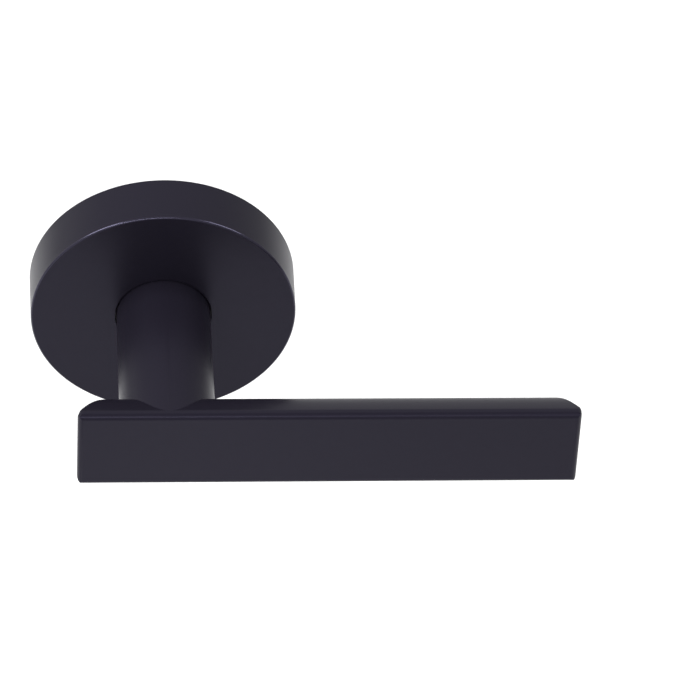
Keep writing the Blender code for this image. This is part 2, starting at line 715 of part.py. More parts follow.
def main():
    """Build every piece of the handle."""
    clear_scene()
    coat = material("black_satin_coat", (0.020, 0.019, 0.026), 0.42, 0.0)
    cover_coat = material("black_satin_cover", (0.021, 0.020, 0.027), 0.42, 0.0)
    zinc = material("die_cast_zinc", (0.48, 0.48, 0.50), 0.45, 1.0)
    steel = material("zinc_plated_steel", (0.60, 0.61, 0.63), 0.32, 1.0)
    bright = material("bright_steel_bar", (0.55, 0.55, 0.56), 0.28, 1.0)
    driver_steel = material("sintered_steel", (0.30, 0.29, 0.28), 0.5, 1.0)
    wire = material("spring_wire", (0.42, 0.41, 0.40), 0.3, 1.0)
    acetal = material("black_acetal", (0.009, 0.009, 0.010), 0.4, 0.0)
    foam = material("black_foam_rubber", (0.03, 0.03, 0.03), 0.9, 0.0)
    oxide = material("black_oxide_steel", (0.035, 0.035, 0.038), 0.4, 1.0)
    screw_steel = material("screw_steel", (0.62, 0.60, 0.52), 0.35, 1.0)
    post_steel = material("post_steel", (0.58, 0.58, 0.60), 0.33, 1.0)
    build_lever(coat)
    build_cover(cover_coat)
    build_housing(zinc)
    build_bushes(acetal)
    build_driver(driver_steel)
    build_spring("return_spring_left", math.pi, wire)
    build_spring("return_spring_right", 0.0, wire)
    build_snap_ring(wire)
    build_plate(steel)
    for place, (x, z, turn) in enumerate(screw_places(), start=1):
        build_plate_screw("plate_screw_%d" % place, x, z, turn + 0.4 * place, screw_steel)
    build_post("mounting_post_left", -POST_X, post_steel)
    build_post("mounting_post_right", POST_X, post_steel)
    build_gasket(foam)
    build_spindle(bright)
    build_set_screw(oxide)
    build_washer(steel)
    build_retaining_ring(oxide)
    turning = ["lever_handle", "spindle", "spindle_set_screw"]
    turning += ["spring_driver", "thrust_washer", "retaining_ring"]
    place_origins(turning)


main()
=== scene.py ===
"""Lever handle on a round sprung rose: the finished look of every piece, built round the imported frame.

Shapes are modelled in millimetres and scaled to metres when they are placed. The spindle axis is the
Y axis, +X runs along the lever to its tip, and -Y points out of the door towards the hand.
"""

import logging
import math
from dataclasses import dataclass
from enum import Enum
from typing import Callable, Iterable, Mapping, Sequence

import bmesh
import bpy
from mathutils import Matrix, Vector


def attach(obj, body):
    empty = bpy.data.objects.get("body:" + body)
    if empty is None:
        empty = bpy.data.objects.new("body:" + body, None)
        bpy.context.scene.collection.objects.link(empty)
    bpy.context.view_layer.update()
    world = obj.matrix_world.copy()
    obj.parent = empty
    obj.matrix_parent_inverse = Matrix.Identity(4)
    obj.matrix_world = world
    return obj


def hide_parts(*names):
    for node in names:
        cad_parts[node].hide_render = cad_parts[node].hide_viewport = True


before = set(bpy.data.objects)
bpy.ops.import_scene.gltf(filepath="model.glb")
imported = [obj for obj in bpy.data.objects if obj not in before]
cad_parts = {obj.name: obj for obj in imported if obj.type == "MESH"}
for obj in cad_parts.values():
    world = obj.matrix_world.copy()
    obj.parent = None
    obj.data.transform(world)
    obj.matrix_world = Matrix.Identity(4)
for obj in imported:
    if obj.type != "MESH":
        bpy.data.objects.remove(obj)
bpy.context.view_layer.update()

LOG = logging.getLogger("lever_handle")
MM = 0.001
TINY = 1e-6
PAST = 1.0  # how far a cutter reaches past the face that it opens
WIDE = 20.0  # reaches past the neck, and past the back of the blade
PATTERN_SPAN = (0.3, 0.7)  # heights between which most of a noise pattern lies

Pair = tuple[float, float]
Triple = tuple[float, float, float]
Colour = tuple[float, float, float, float]
Outline = list[Pair]
Tree = bpy.types.NodeTree
Socket = bpy.types.NodeSocket


class Body(str, Enum):
    """The moving bodies of the frame."""

    ROSE = "rose"
    LEVER = "lever"
    COVER = "cover"


class Join(str, Enum):
    """How one closed shape is combined with another."""

    ADD = "UNION"
    CUT = "DIFFERENCE"
    KEEP_COMMON = "INTERSECT"


class Plane(str, Enum):
    """The plane that an outline is drawn in before it is extruded along the third axis."""

    FRONT = "xz"
    SIDE = "yz"
    TOP = "xy"


# ---------------------------------------------------------------------------------------- finishes


def linear(hex_code: str) -> Colour:
    """Turn an sRGB hex colour into a linear colour.

    Args:
        hex_code: Six hex digits, with or without a leading hash.

    Returns:
        Linear red, green, blue and an alpha of 1.
    """
    digits = hex_code.lstrip("#")
    channels = [int(digits[place : place + 2], 16) / 255.0 for place in (0, 2, 4)]
    red, green, blue = [c / 12.92 if c <= 0.04045 else ((c + 0.055) / 1.055) ** 2.4 for c in channels]
    return (red, green, blue, 1.0)


def add_node(
    tree: Tree,
    kind: str,
    settings: Mapping[str | int, object] | None = None,
    links: Mapping[str | int, Socket] | None = None,
) -> bpy.types.Node:
    """Add a node with its settings and its incoming links.

    Args:
        tree: Node tree that takes the node.
        kind: Blender's type name of the node.
        settings: Values for the node's own properties, or for its input sockets.
        links: Output sockets to link into the named input sockets.

    Returns:
        The new node.
    """
    node = tree.nodes.new(kind)
    for key, value in (settings or {}).items():
        if isinstance(key, str) and hasattr(node, key):
            setattr(node, key, value)
        else:
            node.inputs[key].default_value = value
    for key, socket in (links or {}).items():
        tree.links.new(socket, node.inputs[key])
    return node


@dataclass(frozen=True)
class Grain:
    """A noise pattern whose features have a real size.

    Attributes:
        size: Width of one feature in millimetres.
        detail: Number of finer octaves.
        stretch: How many times longer a feature is along each axis.
    """

    size: float
    detail: float = 2.0
    stretch: Triple = (1.0, 1.0, 1.0)

    def height(self, tree: Tree, place: Socket) -> Socket:
        """Add the pattern to a material.

        Args:
            tree: The material's node tree.
            place: Object coordinates, in metres.

        Returns:
            The pattern's height, from 0 to 1.
        """
        scale = tuple(1.0 / (self.size * MM * longer) for longer in self.stretch)
        mapping = add_node(tree, "ShaderNodeMapping", {"Scale": scale}, {"Vector": place})
        noise = {"Scale": 1.0, "Detail": self.detail, "Roughness": 0.55}
        return add_node(tree, "ShaderNodeTexNoise", noise, {"Vector": mapping.outputs["Vector"]}).outputs[0]


@dataclass(frozen=True)
class Cells(Grain):
    """A pattern of round cells whose width is a real size in millimetres."""

    def height(self, tree: Tree, place: Socket) -> Socket:
        """Add the cells to a material.

        Args:
            tree: The material's node tree.
            place: Object coordinates, in metres.

        Returns:
            Distance from the middle of the nearest cell.
        """
        scale = {"Scale": 1.0 / (self.size * MM)}
        return add_node(tree, "ShaderNodeTexVoronoi", scale, {"Vector": place}).outputs["Distance"]


Reliefs = tuple[tuple[Grain, float], ...]
Constants = tuple[tuple[str, float | Colour], ...]


@dataclass(frozen=True)
class Finish:
    """A surface finish, bare metal unless its constants say otherwise.

    Attributes:
        label: Name of the material.
        colours: sRGB hex colours where the tint's grain is low and where it is high.
        tint: Grain of the colour.
        roughness: Roughness where the sheen's grain is low and where it is high, unless it is constant.
        sheen: Grain of the roughness, where it doesn't follow the tint.
        reliefs: Grains of the relief, coarsest first, each with its depth in millimetres.
        constants: Values for the shader's own sockets.
    """

    label: str = "bare_metal"
    colours: tuple[str, str] = ("#808080", "#909090")
    tint: Grain = Grain(1.0)
    roughness: Pair | None = None
    sheen: Grain | None = None
    reliefs: Reliefs = ()
    constants: Constants = (("Metallic", 1.0),)

    def material(self) -> bpy.types.Material:
        """Return this finish's material, making it the first time."""
        known = bpy.data.materials.get(self.label)
        if known is not None:
            return known
        made = bpy.data.materials.new(self.label)
        made.use_nodes = True
        tree = made.node_tree
        tree.nodes.clear()
        shader = add_node(tree, "ShaderNodeBsdfPrincipled", dict(self.constants))
        add_node(tree, "ShaderNodeOutputMaterial", links={"Surface": shader.outputs["BSDF"]})
        self.dress(tree, shader, add_node(tree, "ShaderNodeTexCoord").outputs["Object"])
        return made

    def dress(self, tree: Tree, shader: bpy.types.Node, place: Socket) -> None:
        """Spread the colours, the roughness and the reliefs over their grains.

        Args:
            tree: The material's node tree.
            shader: Its Principled shader.
            place: Object coordinates, in metres.
        """
        sheen = self.sheen or self.tint
        grains = dict.fromkeys((self.tint, sheen, *(grain for grain, _ in self.reliefs)))
        heights = {grain: grain.height(tree, place) for grain in grains}
        ramp = add_node(tree, "ShaderNodeValToRGB", links={"Fac": heights[self.tint]})
        for element, at, code in zip(ramp.color_ramp.elements, PATTERN_SPAN, self.colours):
            element.position = at
            element.color = linear(code)
        tree.links.new(ramp.outputs["Color"], shader.inputs["Base Color"])
        if self.roughness is not None:
            names = ("From Min", "From Max", "To Min", "To Max")
            limits = dict(zip(names, PATTERN_SPAN + self.roughness))
            spread = add_node(tree, "ShaderNodeMapRange", limits, {"Value": heights[sheen]})
            tree.links.new(spread.outputs[0], shader.inputs["Roughness"])
        links: dict[str, Socket] = {}
        for grain, depth in self.reliefs:
            links["Height"] = heights[grain]
            relief = add_node(tree, "ShaderNodeBump", {"Distance": depth * MM}, links)
            links["Normal"] = relief.outputs["Normal"]
            tree.links.new(relief.outputs["Normal"], shader.inputs["Normal"])


@dataclass(frozen=True)
class SatinPowderCoat(Finish):
    """Polyester powder, sprayed and baked on the cast zinc.

    It looks blue-black and satin, with a very fine orange peel that breaks up its glints.
    """

    label: str = "satin_black_powder_coat_on_zinc"
    colours: tuple[str, str] = ("#15131b", "#18161e")
    tint: Grain = Grain(0.22, 3.0)
    roughness: Pair | None = (0.30, 0.36)
    reliefs: Reliefs = ((Grain(1.1, 1.0), 0.0012), (Grain(0.22, 3.0), 0.0012))
    constants: Constants = (
        ("IOR", 1.24),
        ("Specular IOR Level", 0.5),
        ("Specular Tint", linear("#dad4ff")),
    )


@dataclass(frozen=True)
class TurnedCupPowderCoat(SatinPowderCoat):
    """The same powder on the turned cup, where it pulls thin and glossy over the front edge.

    The edge draws one thin bright line. Its radii and depths are in millimetres.
    """

    label: str = "satin_black_powder_coat_on_turned_cup"
    edge_roughness: float = 0.20
    edge_ior: float = 1.50
    edge_radii: Pair = (32.55, 32.63)
    edge_depths: Pair = (-12.98, -13.06)

    def dress(self, tree: Tree, shader: bpy.types.Node, place: Socket) -> None:
        """Bake on the coat, then make its front edge smoother and more reflective.

        Args:
            tree: The material's node tree.
            shader: Its Principled shader.
            place: Object coordinates, in metres.
        """
        super().dress(tree, shader, place)
        across = {"operation": "MULTIPLY", 1: (1.0, 0.0, 1.0)}
        flat = add_node(tree, "ShaderNodeVectorMath", across, {0: place})
        radius = add_node(tree, "ShaderNodeVectorMath", {"operation": "LENGTH"}, {0: flat.outputs[0]})
        depth = add_node(tree, "ShaderNodeSeparateXYZ", links={"Vector": place})
        both = {}
        spans = ((radius.outputs["Value"], self.edge_radii), (depth.outputs["Y"], self.edge_depths))
        for key, (value, (start, full)) in enumerate(spans):
            span = {"From Min": start * MM, "From Max": full * MM}
            both[key] = add_node(tree, "ShaderNodeMapRange", span, {"Value": value}).outputs[0]
        edge = add_node(tree, "ShaderNodeMath", {"operation": "MULTIPLY"}, both).outputs[0]
        rough, bend = shader.inputs["Roughness"], shader.inputs["IOR"]
        links = {"Value": edge, "To Min": rough.links[0].from_socket}
        eased = add_node(tree, "ShaderNodeMapRange", {"To Max": self.edge_roughness}, links)
        tree.links.new(eased.outputs[0], rough)
        limits = {"To Min": bend.default_value, "To Max": self.edge_ior}
        gloss = add_node(tree, "ShaderNodeMapRange", limits, {"Value": edge})
        tree.links.new(gloss.outputs[0], bend)


SCRATCHES = Grain(0.16, 3.0, (1.0, 60.0, 1.0))
TOOL_RINGS = Grain(0.15, 1.0, (40.0, 1.0, 40.0))
ROLLING_LINES = Grain(0.18, 2.0, (30.0, 1.0, 1.0))
PORES = Grain(0.2, 4.0)
CELLS = Cells(0.45)

# Zinc alloy left bare as it leaves the die: dull grey, with soft flow marks and a tumbled grain.
DIE_CAST_ZINC = Finish(
    label="bare_die_cast_zinc",
    colours=("#8f9196", "#a6a8ab"),
    tint=Grain(6.0, 4.0),
    roughness=(0.42, 0.58),
    reliefs=((Grain(0.35, 3.0), 0.008),),
)

# Pressed steel with a thin zinc plate: cool and fairly bright, clouded, with faint rolling lines.
ZINC_PLATED_STEEL = Finish(
    label="zinc_plated_pressed_steel",
    colours=("#aeb3bb", "#c6cad0"),
    tint=Grain(4.0, 3.0),
    roughness=(0.26, 0.38),
    reliefs=((ROLLING_LINES, 0.002),),
)

# Square bar pulled cold through a die: bright grey, with fine scratches along its whole length.
DRAWN_STEEL_BAR = Finish(
    label="bright_drawn_steel_bar",
    colours=("#9c9ea2", "#b5b7ba"),
    tint=SCRATCHES,
    roughness=(0.22, 0.36),
    reliefs=((SCRATCHES, 0.003),),
)

# Steel turned on a lathe and plated: bright, with close tool rings across the length.
TURNED_STEEL = Finish(
    label="turned_plated_steel",
    colours=("#b0b2b6", "#c4c6c9"),
    tint=TOOL_RINGS,
    roughness=(0.24, 0.34),
    reliefs=((TOOL_RINGS, 0.004),),
)

# Iron powder pressed, sintered and soaked in oil: dark, finely porous, with oily brighter patches.
SINTERED_STEEL = Finish(
    label="oiled_sintered_steel",
    colours=("#56534f", "#7b7873"),
    tint=PORES,
    roughness=(0.34, 0.6),
    sheen=Grain(3.0),
    reliefs=((PORES, 0.012),),
)

# Hard drawn carbon spring wire: grey and shiny, a little darker where the oil film is thick.
SPRING_WIRE = Finish("drawn_spring_wire", ("#77787a", "#a3a4a4"), Grain(1.6, 3.0), (0.2, 0.36))

# Hardened steel blackened in hot salt: near black, with a low blue-grey sheen that varies.
BLACK_OXIDE_STEEL = Finish("black_oxide_steel", ("#2b2c30", "#3e4046"), Grain(1.2, 3.0), (0.34, 0.5))

# Screw steel with a yellow chromate film: brassy, drifting towards grey and rose.
YELLOW_PASSIVATED_STEEL = Finish(
    label="yellow_passivated_screw_steel",
    colours=("#c9b27c", "#bfae9f"),
    tint=Grain(1.5),
    roughness=(0.26, 0.36),
)

# Acetal, injection moulded: deep black plastic with a waxy, slightly uneven shine.
MOULDED_ACETAL = Finish(
    label="black_moulded_acetal",
    colours=("#171718", "#1e1e20"),
    tint=Grain(2.0),
    roughness=(0.3, 0.42),
    constants=(("IOR", 1.48),),
)

# Closed-cell foam rubber, punched from sheet: dead matt charcoal, pitted with small open cells.
FOAM_RUBBER = Finish(
    label="black_closed_cell_foam_rubber",
    colours=("#1b1b1c", "#323233"),
    tint=CELLS,
    reliefs=((CELLS, 0.05),),
    constants=(("Roughness", 0.92), ("IOR", 1.45)),
)


# ------------------------------------------------------------------------------------------ shapes


def arc(centre: Pair, radius: float, start: float, end: float, steps: int) -> Outline:
    """Return points along a circular arc, both ends included.

    Args:
        centre: Middle of the circle.
        radius: Radius of the circle.
        start: Angle of the first point in degrees.
        end: Angle of the last point in degrees.
        steps: Number of chords.

    Returns:
        The points, in order.
    """
    turns = [math.radians(start + (end - start) * step / steps) for step in range(steps + 1)]
    return [(centre[0] + radius * math.cos(turn), centre[1] + radius * math.sin(turn)) for turn in turns]


def circle(centre: Pair, radius: float, steps: int) -> Outline:
    """Return the corners of a many-sided circle."""
    return arc(centre, radius, 0.0, 360.0, steps)[:-1]


def around(radius: float, turn: float) -> Pair:
    """Return the point at a radius and an angle in degrees about the spindle axis."""
    return (radius * math.cos(math.radians(turn)), radius * math.sin(math.radians(turn)))


def quarters(radius: float) -> Outline:
    """Return the four places between the quarters of a circle about the spindle axis."""
    return [around(radius, 45.0 + 90.0 * quarter) for quarter in range(4)]


def band(radii: Pair, span: Pair) -> Outline:
    """Return the (radius, y) outline of a flat ring from its radii and its two faces."""
    (inner, outer), (front, rear) = radii, span
    return [(inner, front), (outer, front), (outer, rear), (inner, rear)]


def sector(radii: Pair, middle: float, half: float, steps: int = 12) -> Outline:
    """Return the outline of a ring segment about the spindle axis.

    Args:
        radii: Inner and outer radius.
        middle: Angle of its middle in degrees, from +X towards +Z.
        half: Half of the angle that it spans.
        steps: Number of chords along each arc.

    Returns:
        The corners, in order.
    """
    outer = arc((0.0, 0.0), radii[1], middle - half, middle + half, steps)
    return outer + arc((0.0, 0.0), radii[0], middle + half, middle - half, steps)


def curve(
    start: Sequence[float], lead: Sequence[float], hold: Sequence[float], end: Sequence[float], steps: int
) -> Outline:
    """Return points of a cubic curve, both ends included.

    Args:
        start: First point.
        lead: Point that the curve sets out towards.
        hold: Point that the curve arrives from.
        end: Last point.
        steps: Number of chords.

    Returns:
        The points, in order.
    """
    points: Outline = []
    for step in range(steps + 1):
        t = step / steps
        near = Vector(start) * (1.0 - t) ** 3 + Vector(lead) * 3.0 * t * (1.0 - t) ** 2
        at = near + Vector(hold) * 3.0 * t * t * (1.0 - t) + Vector(end) * t**3
        points.append((at.x, at.y))
    return points


def rounded(points: Sequence[Pair], radius: float, steps: int = 3) -> Outline:
    """Round every corner of a closed outline that doesn't lie on the axis of a turned shape.

    Args:
        points: Corners of the outline, in order.
        radius: Length that each rounding takes from the sides next to it.
        steps: Number of chords in each rounding.

    Returns:
        The outline with its corners rounded.
    """
    nearly_straight = math.radians(165.0)
    result: Outline = []
    for place, point in enumerate(points):
        corner = Vector(point)
        before = Vector(points[place - 1]) - corner
        after = Vector(points[(place + 1) % len(points)]) - corner
        reach = min(radius, before.length * 0.45, after.length * 0.45)
        if abs(point[0]) < TINY or before.angle(after) > nearly_straight:
            result.append((corner.x, corner.y))
            continue
        first = corner + before.normalized() * reach
        last = corner + after.normalized() * reach
        for step in range(steps + 1):
            t = step / steps
            at = first * (1.0 - t) ** 2 + corner * 2.0 * t * (1.0 - t) + last * t * t
            result.append((at.x, at.y))
    return result


class Solid:
    """A closed shape in millimetres that is still being worked on."""

    def __init__(self, bm: bmesh.types.BMesh) -> None:
        """Take over a finished bmesh.

        Args:
            bm: The bmesh, which is freed.
        """
        bmesh.ops.recalc_face_normals(bm, faces=bm.faces)
        mesh = bpy.data.meshes.new("blank")
        bm.to_mesh(mesh)
        bm.free()
        self.item = bpy.data.objects.new("blank", mesh)
        bpy.context.scene.collection.objects.link(self.item)

    @classmethod
    def turned(cls, profile: Sequence[Pair], steps: int = 96, centre: Pair = (0.0, 0.0)) -> "Solid":
        """Turn a closed (radius, y) outline about an axis along Y.

        Args:
            profile: Corners of the outline; a solid bar starts and ends on the axis.
            steps: Number of chords round the axis.
            centre: X and Z of the axis.

        Returns:
            The turned solid.
        """
        bm = bmesh.new()
        turns = [2.0 * math.pi * step / steps for step in range(steps)]
        rings: list[list[bmesh.types.BMVert]] = []
        for radius, y in profile:
            places = turns if radius > TINY else [0.0]
            flat = [(centre[0] + radius * math.sin(t), centre[1] + radius * math.cos(t)) for t in places]
            rings.append([bm.verts.new((x, y, z)) for x, z in flat])
        pairs = list(zip(rings, rings[1:]))
        if len(rings[0]) > 1:
            pairs.append((rings[-1], rings[0]))
        for first, second in pairs:
            for step in range(steps):
                after = (step + 1) % steps
                corners = [first[step % len(first)], first[after % len(first)]]
                corners += [second[after % len(second)], second[step % len(second)]]
                bm.faces.new(list(dict.fromkeys(corners)))
        return cls(bm)

    @classmethod
    def extruded(cls, outline: Sequence[Pair], plane: Plane, low: float, high: float) -> "Solid":
        """Extrude a closed outline along the axis that its plane leaves out.

        Args:
            outline: Corners of the outline, in order.
            plane: The plane that it is drawn in.
            low: Where the extrusion starts.
            high: Where the extrusion ends.

        Returns:
            The extruded solid.
        """
        spots: dict[Plane, Callable[[float, float, float], Triple]] = {
            Plane.FRONT: lambda a, b, c: (a, c, b),
            Plane.SIDE: lambda a, b, c: (c, a, b),
            Plane.TOP: lambda a, b, c: (a, b, c),
        }
        spot = spots[plane]
        bm = bmesh.new()
        start = [bm.verts.new(spot(a, b, low)) for a, b in outline]
        end = [bm.verts.new(spot(a, b, high)) for a, b in outline]
        bm.faces.new(start)
        bm.faces.new(end)
        for step in range(len(outline)):
            after = (step + 1) % len(outline)
            bm.faces.new((start[step], start[after], end[after], end[step]))
        return cls(bm)

    @classmethod
    def swept(cls, centres: Sequence[Vector], radius: float, sides: int) -> "Solid":
        """Sweep a round wire along a line and close both of its ends.

        Args:
            centres: Points along the middle of the wire.
            radius: Radius of the wire.
            sides: Number of chords round the wire.

        Returns:
            The wire.
        """
        bm = bmesh.new()
        rings: list[list[bmesh.types.BMVert]] = []
        last = len(centres) - 1
        side = (centres[1] - centres[0]).orthogonal()
        turns = [2.0 * math.pi * step / sides for step in range(sides)]
        for place, centre in enumerate(centres):
            forward = (centres[min(place + 1, last)] - centres[max(place - 1, 0)]).normalized()
            side = (side - forward * side.dot(forward)).normalized()
            up = forward.cross(side)
            spots = [centre + (side * math.cos(t) + up * math.sin(t)) * radius for t in turns]
            rings.append([bm.verts.new(spot) for spot in spots])
        for first, second in zip(rings, rings[1:]):
            for step in range(sides):
                after = (step + 1) % sides
                bm.faces.new((first[step], first[after], second[after], second[step]))
        bm.faces.new(rings[0])
        bm.faces.new(rings[-1])
        return cls(bm)

    def combine(self, others: Iterable["Solid"], how: Join) -> "Solid":
        """Add, cut away or intersect other shapes, and use them up.

        Args:
            others: The other shapes.
            how: What is done with them.

        Returns:
            This shape.
        """
        for other in others:
            tool = self.item.modifiers.new("combine", "BOOLEAN")
            tool.operation = how.value
            tool.solver = "EXACT"
            tool.object = other.item
            graph = bpy.context.evaluated_depsgraph_get()
            result = bpy.data.meshes.new_from_object(self.item.evaluated_get(graph))
            self.item.modifiers.clear()
            self.item.data = result
            bpy.data.objects.remove(other.item, do_unlink=True)
        return self

    def pierce(self, outlines: Iterable[Outline], front: float, rear: float) -> "Solid":
        """Cut (x, z) outlines out of the shape along Y.

        Args:
            outlines: Corners of each opening, in order.
            front: Y where the cut starts.
            rear: Y where the cut ends.

        Returns:
            This shape.
        """
        return self.combine([Solid.extruded(each, Plane.FRONT, front, rear) for each in outlines], Join.CUT)

    def release(
        self,
        name: str,
        node: str,
        body: Body,
        finish: Finish,
        slot: str,
        edge: float = 0.0,
        crease: float = 30.0,
    ) -> None:
        """Scale the shape to metres, dress it and let it ride on its body.

        Args:
            name: Name of the finished piece.
            node: Frame node that the piece stands for.
            body: Body that carries it.
            finish: Its surface finish.
            slot: The record's material slot; not used.
            edge: Width of the small rounding on its sharp edges, in millimetres.
            crease: Angle in degrees from which an edge stays sharp.
        """
        piece = self.item
        piece.name = name
        piece.data.name = name
        piece.data.transform(Matrix.Scale(MM, 4))
        piece.data.materials.clear()
        piece.data.materials.append(finish.material())
        piece.data.shade_smooth()
        if edge > 0.0:
            rounding = piece.modifiers.new("edge rounding", "BEVEL")
            rounding.width = edge * MM
            rounding.segments = 2
            rounding.limit_method = "ANGLE"
            rounding.angle_limit = math.radians(crease)
        else:
            piece.data.set_sharp_from_angle(angle=math.radians(crease))
        even = piece.modifiers.new("even shading", "WEIGHTED_NORMAL")
        even.keep_sharp = True
        even.weight = 50
        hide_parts(node)
        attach(piece, body.value)
        LOG.info("%s rides on %s in %s", name, body.value, finish.label)


# -------------------------------------------------------------------------------------- assemblies


@dataclass
class LeverHandle:
    """The cast lever: blade, neck and keyed tail in one piece. Sizes are in millimetres."""

    heel_x: float = -22.07
    tip_x: float = 99.45
    half_height: float = 11.70
    front_y: float = -60.70
    front_fillet: float = 1.35
    strip: float = 0.80
    back_depth: float = 9.20
    back_drop: float = 7.20
    back_slope: float = 17.0
    back_lead: float = 8.50
    back_hold: float = 2.00
    crease_reach: float = 0.35
    crease_angle: float = 12.0
    end_sweep: float = 11.0
    heel_lead: Pair = (3.00, 5.14)
    heel_hold: float = 5.08
    tip_lead: Pair = (3.30, 5.28)
    tip_hold: float = 6.98
    tip_slant: float = 0.45
    heel_corners: Pair = (1.40, 2.40)
    tip_corners: Pair = (1.10, 1.60)
    neck_r: float = 11.68
    neck_inside_y: float = -59.1
    shoulder_y: float = -8.90
    tail_r: float = 8.60
    tail_end_y: float = 1.60
    tail_bevel: float = 0.40
    tail_flat_x: float = 7.50
    groove_r: float = 7.85
    groove_y: Pair = (-1.00, 0.40)
    hole_half: float = 4.10
    hole_front_y: float = -36.30
    screw_y: float = -22.0
    screw_hole_r: float = 2.60
    coat: Finish = SatinPowderCoat()

    @property
    def strip_y(self) -> float:
        """Y of the line where the front fillet meets the flat edge strip."""
        return self.front_y + self.front_fillet

    @property
    def crease_y(self) -> float:
        """Y of the crease between the flat edge strip and the curved back."""
        return self.strip_y + self.strip

    def section(self) -> Outline:
        """Draw the blade's (y, z) section: filleted front, flat edge strip and curved back."""
        top, fillet, slope = self.half_height, self.front_fillet, math.radians(self.back_slope)
        upper = arc((self.strip_y, top - fillet), fillet, 180.0, 90.0, 12)
        crease = Vector((self.crease_y, top))
        lead = crease + Vector((math.cos(slope), -math.sin(slope))) * self.back_lead
        end = crease + Vector((self.back_depth, -self.back_drop))
        back = curve(crease, lead, end + Vector((0.0, self.back_hold)), end, 32)
        upper += curve(crease - Vector((self.crease_reach, 0.0)), crease, crease, back[1], 4)
        upper += back[2:]
        return upper + [(y, -z) for y, z in reversed(upper)]

    def plan(self) -> Outline:
        """Draw the blade's (x, y) plan: filleted front corners, and ends swept in to the back."""
        fillet, back_y = self.front_fillet, self.crease_y + self.back_depth
        ends = (
            (self.heel_x, 1.0, self.strip_y, self.heel_lead, self.heel_hold),
            (self.tip_x, -1.0, self.crease_y, self.tip_lead, self.tip_hold),
        )
        outline: Outline = []
        for end_x, inward, start_y, lead, hold in ends:
            centre = (end_x + inward * fillet, self.strip_y)
            side = arc(centre, fillet, 270.0, 270.0 - inward * 90.0, 12)
            back_x = end_x + inward * self.end_sweep
            first = (end_x + inward * lead[0], start_y + lead[1])
            sweep = curve((end_x, start_y), first, (back_x - inward * hold, back_y), (back_x, back_y), 36)
            side += sweep if start_y > self.strip_y else sweep[1:]
            outline += side if inward > 0.0 else side[::-1]
        return outline

    def face(self) -> Outline:
        """Draw the blade's (x, z) front outline: rounded corners and a slightly slanted tip."""
        half = self.half_height
        corners = (
            (self.tip_x, half, self.tip_corners[0]),
            (self.heel_x, half, self.heel_corners[0]),
            (self.heel_x, -half, self.heel_corners[1]),
            (self.tip_x + self.tip_slant, -half, self.tip_corners[1]),
        )
        outline: Outline = []
        for place, (x, z, radius) in enumerate(corners):
            centre = (x - math.copysign(radius, x), z - math.copysign(radius, z))
            outline += arc(centre, radius, 90.0 * place, 90.0 * (place + 1), 16)
        return outline

    def blade(self) -> Solid:
        """Cross the blade's section, plan and front outline.

        Returns:
            The blade without its neck.
        """
        high = 2.0 * self.half_height
        blade = Solid.extruded(self.section(), Plane.SIDE, self.heel_x - PAST, self.tip_x + PAST)
        plan = Solid.extruded(self.plan(), Plane.TOP, -high, high)
        for vertex in plan.item.data.vertices:
            if vertex.co.x > self.tip_x / 2.0:
                vertex.co.x += self.tip_slant * (0.5 - vertex.co.z / high)
        face = Solid.extruded(self.face(), Plane.FRONT, self.front_y - PAST, self.front_y + WIDE)
        return blade.combine([plan, face], Join.KEEP_COMMON)

    def neck(self) -> Solid:
        """Turn the neck and its tail, with the groove for the retaining ring.

        Returns:
            The neck, whose front end is buried in the blade.
        """
        (front, rear), tail_r, bevel = self.groove_y, self.tail_r, self.tail_bevel
        inside, shoulder, end = self.neck_inside_y, self.shoulder_y, self.tail_end_y
        profile = [(0.0, inside), (self.neck_r, inside), (self.neck_r, shoulder), (tail_r, shoulder)]
        profile += [(tail_r, front), (self.groove_r, front), (self.groove_r, rear), (tail_r, rear)]
        profile += [(tail_r, end - bevel), (tail_r - bevel, end), (0.0, end)]
        return Solid.turned(profile, steps=128)

    def build(self) -> None:
        """Model the lever and dress it in its coat."""
        lever = self.blade().combine([self.neck()], Join.ADD)
        half, end = self.hole_half, self.tail_end_y + PAST
        flats = [band((side * self.tail_flat_x, side * WIDE), (-WIDE, WIDE)) for side in (1.0, -1.0)]
        lever.pierce(flats, self.shoulder_y, end)
        lever.pierce([band((-half, half), (-half, half))], self.hole_front_y, end)
        hole = circle((0.0, self.screw_y), self.screw_hole_r, 48)
        lever.combine([Solid.extruded(hole, Plane.TOP, -WIDE, 0.0)], Join.CUT)
        lever.release(
            "cast_lever", "lever_handle", Body.LEVER, self.coat, "lever_coat", crease=self.crease_angle
        )


